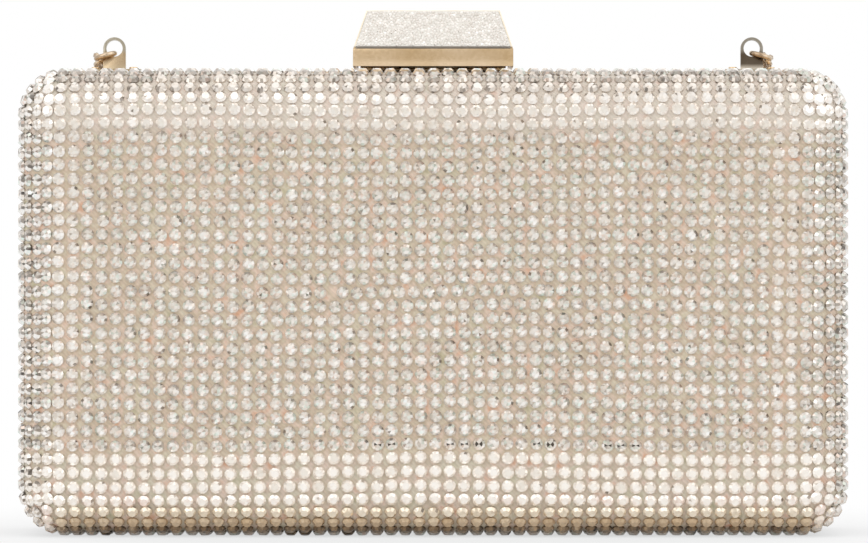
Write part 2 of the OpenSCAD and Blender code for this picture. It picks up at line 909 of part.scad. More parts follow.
// Ring through the eye, hanging outwards and down
module end_ring() {
    color("#d8ba82")
        translate([lug_x, foot_y, eye_z - ring_drop])
            rotate([0, ring_dip, 0])
                translate([ring_r, 0, 0])
                    rotate_extrude()
                        translate([ring_r, 0])
                            circle(r = ring_wire_r);
}

module left_end_ring() {
    mirror([1, 0, 0])
        end_ring();
}

module right_end_ring() {
    end_ring();
}

// Tube swept along a route, closed at both ends
module chain_tube(route, sides, first_normal) {
    t = tangents(route);
    n = carried_normals(t, first_normal);
    last = len(route) - 1;
    polyhedron(
        points = [for (i = [0 : last]) for (k = [0 : sides - 1])
            let (a = k * 360 / sides)
                route[i] + chain_w / 2 * (cos(a) * n[i] + sin(a) * cross(t[i], n[i]))],
        faces = concat(
            [for (k = [1 : sides - 2]) [0, k, k + 1]],
            [for (k = [1 : sides - 2]) [last * sides, last * sides + k + 1, last * sides + k]],
            [for (i = [0 : last - 1]) for (k = [0 : sides - 1]) let (m = (k + 1) % sides)
                [i * sides + k, (i + 1) * sides + k, (i + 1) * sides + m]],
            [for (i = [0 : last - 1]) for (k = [0 : sides - 1]) let (m = (k + 1) % sides)
                [i * sides + k, (i + 1) * sides + m, i * sides + m]]));
}

module chain_left_drop() {
    color("#cfae74")
        chain_tube(left_route, 8, [1, 0, 0]);
}

module chain_coil() {
    color("#cfae74")
        chain_tube(coil_route, coil_sides, [0, 0, 1]);
}

module chain_right_drop() {
    color("#cfae74")
        chain_tube(right_route, 8, [1, 0, 0]);
}

front_shell();
front_crystal_skin();
front_frame();
front_lining();
front_hinge_leaf();
front_leaf_rivets();
clasp_keeper();
keeper_rivets();
back_shell();
back_crystal_skin();
back_frame();
back_lining();
slip_pocket();
back_hinge_leaf();
back_leaf_rivets();
hinge_pin();
clasp_base();
clasp_base_screws();
clasp_pivot_pin();
clasp_spring();
clasp_cover();
clasp_crystal_plate();
clasp_hook();
hook_screws();
left_chain_lug();
right_chain_lug();
lug_rivets();
left_end_ring();
right_end_ring();
chain_left_drop();
chain_coil();
chain_right_drop();
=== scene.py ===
import itertools
import json
import math

import bpy
import numpy as np
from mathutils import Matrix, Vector

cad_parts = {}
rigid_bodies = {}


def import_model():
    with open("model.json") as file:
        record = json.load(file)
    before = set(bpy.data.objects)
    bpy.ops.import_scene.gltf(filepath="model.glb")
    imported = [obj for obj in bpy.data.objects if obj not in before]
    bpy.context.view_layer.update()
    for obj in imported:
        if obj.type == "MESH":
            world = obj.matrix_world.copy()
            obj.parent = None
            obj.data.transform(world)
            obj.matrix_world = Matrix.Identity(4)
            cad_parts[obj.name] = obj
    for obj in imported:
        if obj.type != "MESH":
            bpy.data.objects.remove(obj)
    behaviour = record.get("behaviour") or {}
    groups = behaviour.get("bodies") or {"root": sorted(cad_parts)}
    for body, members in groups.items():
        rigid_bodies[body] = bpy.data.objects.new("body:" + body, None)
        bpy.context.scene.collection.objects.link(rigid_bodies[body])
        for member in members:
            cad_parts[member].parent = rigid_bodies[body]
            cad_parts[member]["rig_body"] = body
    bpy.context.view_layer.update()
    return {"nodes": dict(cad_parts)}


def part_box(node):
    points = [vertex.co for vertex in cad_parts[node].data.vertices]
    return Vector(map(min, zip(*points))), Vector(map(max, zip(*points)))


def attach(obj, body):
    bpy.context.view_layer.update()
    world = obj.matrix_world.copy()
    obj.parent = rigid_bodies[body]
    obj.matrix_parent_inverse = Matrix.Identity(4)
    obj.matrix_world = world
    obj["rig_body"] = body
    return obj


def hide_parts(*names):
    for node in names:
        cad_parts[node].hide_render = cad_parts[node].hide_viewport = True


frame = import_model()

# Studio
# The bag stands on a plain white table in soft light, seen straight from the front.
# A grey card behind the camera gives polished metal and crystal something darker to mirror.


def linear(hex_colour):
    """Linear RGBA from an sRGB hex colour."""
    parts = [int(hex_colour[i : i + 2], 16) / 255 for i in (1, 3, 5)]
    return [c / 12.92 if c <= 0.04045 else ((c + 0.055) / 1.055) ** 2.4 for c in parts] + [1.0]


def add_node(tree, kind, values=None, links=None, **settings):
    """A node with its settings, socket values and incoming links."""
    made = tree.nodes.new(kind)
    for name, value in settings.items():
        setattr(made, name, value)
    for socket, value in (values or {}).items():
        made.inputs[socket].default_value = value
    for socket, source in (links or {}).items():
        tree.links.new(source, made.inputs[socket])
    return made


def new_material(name):
    """An empty node material and its tree."""
    material = bpy.data.materials.new(name)
    material.use_nodes = True
    material.node_tree.nodes.clear()
    return material, material.node_tree


def deselect_all():
    """Object mode with nothing selected."""
    if bpy.context.object and bpy.context.object.mode != "OBJECT":
        bpy.ops.object.mode_set(mode="OBJECT")
    bpy.ops.object.select_all(action="DESELECT")


def make_active(piece):
    """Selects one object alone."""
    deselect_all()
    piece.select_set(True)
    bpy.context.view_layer.objects.active = piece


def apply_place(piece):
    """Puts an object's place, turn and size into its mesh."""
    make_active(piece)
    bpy.ops.object.transform_apply(location=True, rotation=True, scale=True)


scene = bpy.context.scene
scene.view_settings.view_transform = "Standard"

camera_distance = 1.0
photo_width_at_sides = 0.1987
side_front_y = -0.013
camera_height = 0.0604
camera_aside = 0.0002
deselect_all()
bpy.ops.object.camera_add(location=(camera_aside, -camera_distance, camera_height),
                          rotation=(math.pi / 2, 0, 0))
camera = bpy.context.object
camera.data.sensor_width = 36
camera.data.lens = 36 * (camera_distance + side_front_y) / photo_width_at_sides
camera.data.clip_start = 0.01
camera.data.clip_end = 60
scene.camera = camera

world = bpy.data.worlds.new("white studio")
world.use_nodes = True
scene.world = world
tree = world.node_tree
tree.nodes.clear()
rays = add_node(tree, "ShaderNodeLightPath")
seen = add_node(tree, "ShaderNodeMath", operation="MAXIMUM",
                links={0: rays.outputs["Is Camera Ray"], 1: rays.outputs["Is Glossy Ray"]})
seen = add_node(tree, "ShaderNodeMath", operation="MAXIMUM",
                links={0: seen.outputs[0], 1: rays.outputs["Is Transmission Ray"]})
soft_light = 0.68
strength = add_node(tree, "ShaderNodeMapRange", values={"To Min": soft_light},
                    links={"Value": seen.outputs[0]})
back = add_node(tree, "ShaderNodeBackground", values={"Color": (1, 1, 1, 1)},
                links={"Strength": strength.outputs[0]})
add_node(tree, "ShaderNodeOutputWorld", links={"Surface": back.outputs[0]})

mirror_lift = 0.15
shadow_tone, shadow_reach = 0.66, 0.1
deselect_all()
bpy.ops.mesh.primitive_plane_add(size=30, location=(0, 0, 0))
table = bpy.context.object
table.name = "table"
material, tree = new_material("white table")
rays = add_node(tree, "ShaderNodeLightPath")
mirrored = add_node(tree, "ShaderNodeMath", operation="MAXIMUM",
                    links={0: rays.outputs["Is Glossy Ray"], 1: rays.outputs["Is Transmission Ray"]})
lift = add_node(tree, "ShaderNodeMath", operation="MULTIPLY", values={1: mirror_lift},
                links={0: mirrored.outputs[0]})
glow = add_node(tree, "ShaderNodeEmission", links={"Strength": lift.outputs[0]})
matt = add_node(tree, "ShaderNodeBsdfDiffuse", values={"Color": linear("#ECECEC")})
both = add_node(tree, "ShaderNodeAddShader", links={0: glow.outputs[0], 1: matt.outputs[0]})
# The camera sees the white studio through the table, with the object's soft shadow on it, so the
# front half shows when it opens below the table top
below = add_node(tree, "ShaderNodeNewGeometry").outputs["Backfacing"]
near = add_node(tree, "ShaderNodeAmbientOcclusion", samples=8, values={"Distance": shadow_reach})
shadow = add_node(tree, "ShaderNodeMapRange", values={"To Min": shadow_tone},
                  links={"Value": near.outputs["AO"]})
shadow = add_node(tree, "ShaderNodeMath", operation="MAXIMUM", links={0: shadow.outputs[0], 1: below})
clear = add_node(tree, "ShaderNodeBsdfTransparent", links={"Color": shadow.outputs[0]})
seen = add_node(tree, "ShaderNodeMath", operation="MAXIMUM",
                links={0: rays.outputs["Is Camera Ray"], 1: below})
both = add_node(tree, "ShaderNodeMixShader",
                links={0: seen.outputs[0], 1: both.outputs[0], 2: clear.outputs[0]})
add_node(tree, "ShaderNodeOutputMaterial", links={"Surface": both.outputs[0]})
table.data.materials.append(material)

deselect_all()
bpy.ops.mesh.primitive_plane_add(size=1, location=(0, -1.9, 0.25), rotation=(math.pi / 2, 0, 0))
card = bpy.context.object
card.name = "grey_card"
card.scale = (1.5, 1.1, 1)
material, tree = new_material("grey card")
glow = add_node(tree, "ShaderNodeEmission", values={"Color": linear("#E0DBD2")})
add_node(tree, "ShaderNodeOutputMaterial", links={"Surface": glow.outputs[0]})
card.data.materials.append(material)
card.visible_camera = False
card.visible_diffuse = False
card.visible_shadow = False

for lamp_name, place, size, watts in (
    ("softbox_left", (-1.3, -1.6, 1.4), 2.2, 16.0),
    ("softbox_right", (1.5, -1.3, 1.2), 2.0, 10.0),
    ("softbox_top", (0.1, 0.5, 2.0), 2.6, 8.0),
):
    deselect_all()
    bpy.ops.object.light_add(type="AREA", location=place)
    lamp = bpy.context.object
    lamp.name = lamp_name
    lamp.data.shape = "SQUARE"
    lamp.data.size = size
    lamp.data.energy = watts
    aim = Vector((0, 0, 0.05)) - Vector(place)
    lamp.rotation_euler = aim.to_track_quat("-Z", "Y").to_euler()

# Shoulder chain
# Cable chain of oval links in pale gold plated wire, from one lug to the other: over the back
# edge, down the back, and coiled close behind the bag. Each link hangs crosswise in the last.
chain_mm = 0.001
chain_w = 4.2
drop_route = [
    [77.6, 4.9, 109.8], [77.8, 8.4, 109.7], [78, 12.8, 109.6], [78, 17.2, 109.2],
    [78, 21.6, 107], [78, 25, 103], [78, 26.6, 97.6], *([78, 26.8, z] for z in range(88, 17, -10)),
    [77.4, 27, 10], [74.8, 27.6, 5], [70.5, 28.4, 2.6], [63, 29.6, 2.2], [54, 30.6, 2.2],
    [44, 31, 2.2], [34, 31, 2.2],
]
left_floor_route = [[24, 31, 2.2], [14, 31, 2.2], [4.2, 31, 2.2]]
right_floor_route = [[26, 31, 2.8], [20, 31, 4.6], [14, 31, 6.4], [9, 31, 6.9], [4.2, 31, 6.9]]
coil_r, coil_turns, coil_step, coil_rings, coil_y = 25, 7, 4.9, 24, 56
coil_low, coil_high, climb_turns = 2.2, 6.9, 0.5
coil_route = []
for i in range(coil_turns * coil_rings + 1):
    turn = i / coil_rings
    angle = turn * math.tau - math.pi / 2
    radius = coil_r - coil_step * min(turn, coil_turns - turn)
    climb = max(0, min(1, (turn - (coil_turns - climb_turns) / 2) / climb_turns))
    coil_route.append([radius * math.cos(angle), coil_y + radius * math.sin(angle),
                       coil_low + (coil_high - coil_low) * climb])
left_route = [[-x, y, z] for x, y, z in drop_route + left_floor_route]
right_route = drop_route + right_floor_route
route = np.array(left_route + coil_route + right_route[::-1], float) * chain_mm

# A smooth line through the route's points, by Catmull and Rom
fine = []
for i in range(len(route) - 1):
    p0, p1, p2, p3 = (route[max(0, min(len(route) - 1, i + k))] for k in (-1, 0, 1, 2))
    for t in np.linspace(0, 1, 8, endpoint=False):
        fine.append(0.5 * (2 * p1 + (p2 - p0) * t + (2 * p0 - 5 * p1 + 4 * p2 - p3) * t * t
                           + (3 * p1 - p0 - 3 * p2 + p3) * t ** 3))
fine = np.array(fine + [route[-1]])
fine_along = np.concatenate([[0], np.cumsum(np.linalg.norm(np.diff(fine, axis=0), axis=1))])

# One link: a wire bent to an oval, bevelled round
link_wire_r = 0.00074
link_inner_l = 0.0039
link_half_straight = 0.00065
link_bend_r = chain_w * chain_mm / 2 - link_wire_r
deselect_all()
bpy.ops.curve.primitive_bezier_circle_add(radius=link_bend_r, location=(0, 0, 0))
link_curve = bpy.context.object
for point in link_curve.data.splines[0].bezier_points:
    push = link_half_straight if point.co.x > 1e-5 else -link_half_straight if point.co.x < -1e-5 else 0
    for end in (point.co, point.handle_left, point.handle_right):
        end.x += push
link_curve.data.resolution_u = 3
link_curve.data.bevel_depth = link_wire_r
link_curve.data.bevel_resolution = 1
bpy.ops.object.convert(target="MESH")
link_piece = bpy.context.object
link_co = np.array([v.co for v in link_piece.data.vertices])
link_faces = [tuple(p.vertices) for p in link_piece.data.polygons]
bpy.data.objects.remove(link_piece)


def frames_along(points):
    """Unit tangents, normals and binormals carried along a line of points."""
    tangents = np.gradient(points, axis=0)
    tangents /= np.linalg.norm(tangents, axis=1)[:, None]
    normal = np.array([1.0, 0.0, 0.0])
    normals = []
    for tangent in tangents:
        normal = normal - tangent * (normal @ tangent)
        normal /= np.linalg.norm(normal)
        normals.append(normal)
    normals = np.array(normals)
    return tangents, normals, np.cross(tangents, normals)


def mesh_piece(name, vertices, faces, smooth=False):
    """A piece from points and faces."""
    mesh = bpy.data.meshes.new(name)
    mesh.from_pydata([tuple(v) for v in vertices], [], faces)
    mesh.update()
    piece = bpy.data.objects.new(name, mesh)
    scene.collection.objects.link(piece)
    if smooth:
        mesh.polygons.foreach_set("use_smooth", [True] * len(mesh.polygons))
    return piece


def copies_mesh(master_co, master_faces, places, axes):
    """Points and faces of a small shape set at many places: axes has its x, y and z there."""
    points = np.einsum("vk,nkj->nvj", master_co, axes) + places[:, None, :]
    count = len(master_co)
    faces = [tuple(v + i * count for v in face) for i in range(len(places)) for face in master_faces]
    return points.reshape(-1, 3), faces


link_count = int(fine_along[-1] / link_inner_l)
link_at = np.linspace(0, fine_along[-1], link_count)
link_places = np.stack([np.interp(link_at, fine_along, fine[:, k]) for k in range(3)], axis=1)
t, n, b = frames_along(link_places)
link_turn = np.where(np.arange(link_count) % 2 == 0, math.pi / 4, -math.pi / 4)
u = n * np.cos(link_turn)[:, None] + b * np.sin(link_turn)[:, None]
w = np.cross(t, u)
chain_co, chain_faces = copies_mesh(link_co, link_faces, link_places, np.stack([t, u, w], axis=1))
chain = mesh_piece("shoulder_chain", chain_co, chain_faces, smooth=True)


def plated_gold(name, face_hex, deep_hex, rough, grain_mm, bump):
    """Pale gold plate on cast zinc or wire: a polished metal with faint wear and swirl marks.

    The plate goes browner in patches at random, which on the chain are painted dark reflections, and its
    gloss varies a little.
    """
    material, tree = new_material(name)
    where = add_node(tree, "ShaderNodeTexCoord").outputs["Object"]
    cloud = add_node(tree, "ShaderNodeTexNoise", links={"Vector": where},
                     values={"Scale": 1000 / (grain_mm * 12), "Detail": 4.0})
    marks = add_node(tree, "ShaderNodeTexNoise", links={"Vector": where},
                     values={"Scale": 1000 / grain_mm, "Detail": 3.0})
    tone = add_node(tree, "ShaderNodeMapRange", links={"Value": cloud.outputs["Fac"]},
                    values={"From Min": 0.3, "From Max": 0.75})
    colour = add_node(tree, "ShaderNodeMix", data_type="RGBA",
                      values={6: linear(face_hex), 7: linear(deep_hex)}, links={0: tone.outputs[0]})
    gloss = add_node(tree, "ShaderNodeMapRange", links={"Value": marks.outputs["Fac"]},
                     values={"From Min": 0.3, "From Max": 0.7,
                             "To Min": rough * 0.75, "To Max": rough * 1.3})
    relief = add_node(tree, "ShaderNodeBump", values={"Strength": bump, "Distance": 0.00004},
                      links={"Height": marks.outputs["Fac"]})
    metal = add_node(tree, "ShaderNodeBsdfPrincipled", values={"Metallic": 1.0},
                     links={"Base Color": colour.outputs[2], "Roughness": gloss.outputs[0],
                            "Normal": relief.outputs[0]})
    add_node(tree, "ShaderNodeOutputMaterial", links={"Surface": metal.outputs[0]})
    return material


# On the chain and its end rings the deep brown patches are painted dark reflections
chain_gold = plated_gold("chain: pale gold plated wire", "#DECBB2", "#86684A", 0.2, 0.35, 0.15)


def dress(piece, material):
    """Gives a piece or a carried-over CAD node its one material."""
    piece.data.materials.clear()
    piece.data.materials.append(material)


dress(chain, chain_gold)
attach(chain, "back_case")
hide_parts("chain_left_drop", "chain_coil", "chain_right_drop")
end_rings = [frame["nodes"][name] for name in ("left_end_ring", "right_end_ring")]
for ring in end_rings:
    dress(ring, chain_gold)

# Case shells
# Two half cases moulded from hard plastic, hidden between the outer cloth and the lining.
# The moulding is off-white and half matt, and a little cloudy
material, tree = new_material("shell: moulded polystyrene")
where = add_node(tree, "ShaderNodeTexCoord").outputs["Object"]
cloud = add_node(tree, "ShaderNodeTexNoise", values={"Scale": 180.0, "Detail": 3.0},
                 links={"Vector": where})
colour = add_node(tree, "ShaderNodeMix", data_type="RGBA",
                  values={6: linear("#D6CCBD"), 7: linear("#C3B7A5")}, links={0: cloud.outputs["Fac"]})
relief = add_node(tree, "ShaderNodeBump", values={"Strength": 0.2, "Distance": 0.0001},
                  links={"Height": cloud.outputs["Fac"]})
plastic = add_node(tree, "ShaderNodeBsdfPrincipled", values={"Roughness": 0.55, "IOR": 1.59},
                   links={"Base Color": colour.outputs[2], "Normal": relief.outputs[0]})
add_node(tree, "ShaderNodeOutputMaterial", links={"Surface": plastic.outputs[0]})
for name in ("front_shell", "back_shell"):
    dress(frame["nodes"][name], material)

# Outer cloth
# Beige satin glued over each shell in one piece, heat shaped round the corners and turned in
# under the frame. The stones are glued on it, and it shows between them.
body_w, body_h, half_d, corner_r = 0.19, 0.107, 0.024, 0.011
mid_z = body_h / 2
core_x, core_y, core_z = body_w / 2 - corner_r, half_d - corner_r, body_h / 2 - corner_r
skin_t, case_mouth = 0.0016, 0.0036
cloth_top_in = 0.00105


def pick(piece, kind, chosen):
    """Edit mode with only the edges or faces selected for which chosen is true."""
    make_active(piece)
    bpy.ops.object.mode_set(mode="EDIT")
    bpy.ops.mesh.select_mode(type=kind)
    bpy.ops.mesh.select_all(action="DESELECT")
    bpy.ops.object.mode_set(mode="OBJECT")
    for part in piece.data.edges if kind == "EDGE" else piece.data.polygons:
        part.select = bool(chosen(part))
    bpy.ops.object.mode_set(mode="EDIT")


def half_case_sheet(name, side, inset, mouth, steps):
    """The outside of a half case, set in from the stones' tops. Side -1 is the front half."""
    deselect_all()
    depth = half_d - inset - mouth
    bpy.ops.mesh.primitive_cube_add(size=1, location=(0, side * (mouth + depth / 2), mid_z))
    piece = bpy.context.object
    piece.name = name
    piece.data.name = name
    piece.scale = (body_w - inset * 2, depth, body_h - inset * 2)
    apply_place(piece)
    corners = piece.data.vertices
    pick(piece, "EDGE", lambda edge: any(abs(abs(corners[v].co.y) - mouth) > 1e-6 for v in edge.vertices))
    bpy.ops.mesh.bevel(offset_type="OFFSET", offset=corner_r - inset, segments=steps, profile=0.5,
                       clamp_overlap=False)
    pick(piece, "FACE", lambda face: abs(abs(face.center.y) - mouth) < 1e-6 and abs(face.normal.y) > 0.9)
    bpy.ops.mesh.delete(type="FACE")
    bpy.ops.mesh.select_all(action="SELECT")
    bpy.ops.mesh.remove_doubles(threshold=1e-6)
    bpy.ops.object.mode_set(mode="OBJECT")
    return piece


def thicken(piece, thickness, offset=-1):
    """Gives a sheet its wall, inwards or, with offset 0, to both sides."""
    make_active(piece)
    wall = piece.modifiers.new("wall", "SOLIDIFY")
    wall.thickness, wall.offset = thickness, offset
    bpy.ops.object.modifier_apply(modifier=wall.name)


def colour_stops(node, *stops):
    """Gives a colour ramp its stops, each a place and a hex colour."""
    elements = node.color_ramp.elements
    for element, (place, hex_colour) in zip(elements, (stops[0], stops[-1])):
        element.position, element.color = place, linear(hex_colour)
    for place, hex_colour in stops[1:-1]:
        elements.new(place).color = linear(hex_colour)


# Satin is smooth but soft edged in its shine, with a faint sheen at a grazing look
material, satin = new_material("cloth: beige satin")
where = add_node(satin, "ShaderNodeTexCoord").outputs["Object"]
# Threads 0.55 mm apart, coarser than real satin so that the weave shows
threads = add_node(satin, "ShaderNodeTexWave", wave_type="BANDS", bands_direction="DIAGONAL",
                   values={"Scale": 570.0, "Distortion": 1.5, "Detail": 1.0},
                   links={"Vector": where})
patches = add_node(satin, "ShaderNodeTexNoise", values={"Scale": 260.0, "Detail": 2.0, "Roughness": 0.6},
                   links={"Vector": where})
# Warm and olive casts that the crystals throw on the cloth between them
casts = add_node(satin, "ShaderNodeValToRGB", links={"Fac": patches.outputs["Fac"]})
colour_stops(casts, (0.28, "#C8BE9E"), (0.40, "#E2D5BE"), (0.50, "#D3C0A8"), (0.60, "#EAD3C0"),
             (0.74, "#E2B190"))
# Over the upper bend the stones beside it throw white light on it, and in the rows near the
# bottom it is greyer
spot = add_node(satin, "ShaderNodeSeparateXYZ", links={0: where})
lit = add_node(satin, "ShaderNodeMapRange", links={"Value": spot.outputs["Z"]},
               values={"From Min": 0.0895, "From Max": 0.0940, "To Max": 0.5})
casts = add_node(satin, "ShaderNodeMix", data_type="RGBA",
                 values={7: linear("#E6DFD8")}, links={0: lit.outputs[0], 6: casts.outputs["Color"]})
shaded = add_node(satin, "ShaderNodeMapRange", links={"Value": spot.outputs["Z"]},
                  values={"From Min": 0.0175, "From Max": 0.0200, "To Min": 1.0, "To Max": 0.0})
casts = add_node(satin, "ShaderNodeMix", data_type="RGBA", blend_type="MULTIPLY",
                 values={7: linear("#F6FAFF")}, links={0: shaded.outputs[0], 6: casts.outputs[2]})
worn = add_node(satin, "ShaderNodeMix", data_type="RGBA", blend_type="MULTIPLY",
                values={0: 0.1}, links={6: casts.outputs[2], 7: threads.outputs["Color"]})
relief = add_node(satin, "ShaderNodeBump", values={"Strength": 0.35, "Distance": 0.0001},
                  links={"Height": threads.outputs["Fac"]})
cloth = add_node(satin, "ShaderNodeBsdfPrincipled",
                 values={"Roughness": 0.6, "Sheen Weight": 0.25, "Sheen Roughness": 0.4, "IOR": 1.45},
                 links={"Base Color": worn.outputs[2], "Normal": relief.outputs[0]})
add_node(satin, "ShaderNodeOutputMaterial", links={"Surface": cloth.outputs[0]})

for body, side in (("front_case", -1), ("back_case", 1)):
    half = body.split("_")[0]
    outer = half_case_sheet(half + "_cloth", side, cloth_top_in, case_mouth, 10)
    thicken(outer, skin_t - cloth_top_in)
    bpy.ops.object.shade_smooth_by_angle(angle=math.radians(40))
    outer.data.materials.append(material)
    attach(outer, body)
    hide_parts(half + "_crystal_skin")

# Crystals
# Flat backed glass stones of 2.86 mm with a foil behind them, glued in straight rows over the
# face and in rings round it and over the sides. Each is cut with a low girdle of twelve sides, a
# crown of three sided facets and an eight sided table.
stone_r, stone_h = 0.00143, 0.00104
table_r, girdle_h = 0.00088, 0.0004
column_count, row_count, ring_count = 53, 28, 8
# The rows lie a little off the middle, as set by hand
first_x, last_x = -0.0846, 0.0849
first_z, last_z = 0.0116, 0.0970
column_pitch = (last_x - first_x) / (column_count - 1)
row_pitch = (last_z - first_z) / (row_count - 1)
low_z, high_z = mid_z - core_z, mid_z + core_z
stone_mid_r = corner_r - 0.0005
bend_run = stone_mid_r * math.pi / 2
last_ring = bend_run + core_y - case_mouth - stone_r - 0.0001
stone_base_r = corner_r - cloth_top_in - 0.00004
arc_pitch = 0.00302
# A stretch in the middle of the fifteenth row is laid half a step aside
aside_row, aside_half = 14, 0.024
# Painted light on the stones: the rows and columns painted bright beside the bends, and the row above the
# lowest painted dull
top_rows_z, top_rows_half = 0.0997, 0.0072
bottom_rows_z = 0.0185
left_columns_x, left_columns_half = -0.0828, 0.003
right_columns_x, right_columns_half = 0.0804, 0.0028
painted_dull_row_z = first_z + 3 * row_pitch

deselect_all()
bpy.ops.mesh.primitive_circle_add(vertices=12, radius=stone_r, location=(0, 0, 0))
stone = bpy.context.object
bpy.ops.object.mode_set(mode="EDIT")
bpy.ops.mesh.select_all(action="DESELECT")
bpy.ops.mesh.primitive_circle_add(vertices=12, radius=stone_r, location=(0, 0, girdle_h))
bpy.ops.mesh.primitive_circle_add(vertices=8, radius=table_r, location=(0, 0, stone_h))
bpy.ops.mesh.select_all(action="SELECT")
bpy.ops.mesh.convex_hull()
bpy.ops.mesh.dissolve_limited(angle_limit=math.radians(1))
pick(stone, "FACE", lambda face: face.normal.z > 0.99)
# The foiled facets of the back show through the table as eight sectors
bpy.ops.mesh.poke()
bpy.ops.object.mode_set(mode="OBJECT")
stone_co = np.array([v.co for v in stone.data.vertices])
stone_faces = [tuple(p.vertices) for p in stone.data.polygons]
# Which way each facet leans: a sector of the table shows a facet that leans outwards below it
stone_leans = np.array([p.normal if p.normal.z < 0.99 else p.center * 0.4 / table_r
                        for p in stone.data.polygons])
stone_leans[:, 2] = 0
bpy.data.objects.remove(stone)


def on_case(x, z):
    """Places on the front half's cloth, and normals, of points of the cloth as it lay flat."""
    # A point past the flat of the face goes round the bend, and then straight back
    near_x, near_z = np.clip(x, -core_x, core_x), np.clip(z, low_z, high_z)
    dx, dz = x - near_x, z - near_z
    run = np.hypot(dx, dz)
    ux, uz = dx / np.maximum(run, 1e-9), dz / np.maximum(run, 1e-9)
    bend = np.minimum(run / stone_mid_r, math.pi / 2)
    past = np.maximum(0, run - bend_run)
    reach = stone_base_r * np.sin(bend)
    y = past - core_y - stone_base_r * np.cos(bend)
    places = np.stack([near_x + ux * reach, y, near_z + uz * reach], axis=1)
    return places, np.stack([ux * np.sin(bend), -np.cos(bend), uz * np.sin(bend)], axis=1)


def stone_spots(rng):
    """Where the stones of a half lie on its cloth, laid flat: rows, then rings round them."""
    xs = [first_x + i * column_pitch for i in range(column_count)]
    zs = [first_z + j * row_pitch for j in range(row_count)]
    spots = []
    for j, z in enumerate(zs):
        for x in xs:
            spots.append((x + (column_pitch / 2 if j == aside_row and abs(x) < aside_half else 0), z))
    for k in range(1, ring_count + 1):
        # Each side's rings share out what is left between its last row and the frame
        left, right, low, high = (
            edge + k * (last_ring - edge) / ring_count
            for edge in (-core_x - first_x, last_x - core_x, low_z - first_z, last_z - high_z))
        spots += [(x, low_z - low) for x in xs] + [(x, high_z + high) for x in xs]
        spots += [(-core_x - left, z) for z in zs] + [(core_x + right, z) for z in zs]
        sides = (first_x, -core_x - left - first_x), (last_x, core_x + right - last_x)
        levels = (first_z, low_z - low - first_z), (last_z, high_z + high - last_z)
        for (x, side_run), (z, level_run) in itertools.product(sides, levels):
            # The inner arcs bulge towards the corner, so that none of it stays bare
            turn = np.linspace(0, math.pi / 2, 60)
            bulge = 1 + 0.25 / k ** 1.2 * np.sin(2 * turn) ** 2
            arc_x, arc_z = x + side_run * np.cos(turn) * bulge, z + level_run * np.sin(turn) * bulge
            arc, arc_normals = on_case(arc_x, arc_z)
            gone = np.concatenate([[0], np.cumsum(np.linalg.norm(np.diff(arc, axis=0), axis=1))])
            gaps = max(2, round(gone[-1] / arc_pitch))
            for g in range(1, gaps):
                at = gone[-1] * g / gaps
                spots.append((np.interp(at, gone, arc_x), np.interp(at, gone, arc_z)))
    x, z = np.array(spots).T
    # The rows wander a little, and each stone is a little out of place
    wander = 0.00045 * np.sin(x * 41 + z * 29 + 0.6), 0.0003 * np.sin(x * 53 - z * 37 + 2.1)
    jitter = rng.normal(0, 0.00008, (2, len(x)))
    inner = np.hypot(x - np.clip(x, first_x, last_x), z - np.clip(z, first_z, last_z)) < 0.004
    return x + wander[0] * inner + jitter[0], z + wander[1] * inner + jitter[1]


def stone_axes(normals, rng, lean_deg):
    """Each stone's own x, y and z: turned at random on its base and set slightly out of true."""
    normals = normals + rng.normal(0, math.tan(math.radians(lean_deg)), normals.shape)
    normals /= np.linalg.norm(normals, axis=1)[:, None]
    start = np.where(np.abs(normals[:, 2:3]) > 0.9, [[1.0, 0, 0]], [[0, 0, 1.0]])
    u = np.cross(start, normals)
    u /= np.linalg.norm(u, axis=1)[:, None]
    v = np.cross(normals, u)
    spin = rng.uniform(0, math.tau, len(normals))[:, None]
    cos, sin = np.cos(spin), np.sin(spin)
    return np.stack([u * cos + v * sin, v * cos - u * sin, normals], axis=1)


def painted_bright_rows(places, axes):
    """How much a stone belongs to the rows near the edges of the face that are painted bright, 0 to 1."""
    x, z = places[:, 0], places[:, 2]
    rows = (abs(z - top_rows_z) < top_rows_half) * 0.75 + (z < bottom_rows_z) * 1.0
    left = abs(x - left_columns_x) < left_columns_half
    right = abs(x - right_columns_x) < right_columns_half
    return np.maximum(rows, (left | right) * 0.3) * (abs(axes[:, 2, 1]) > 0.6)


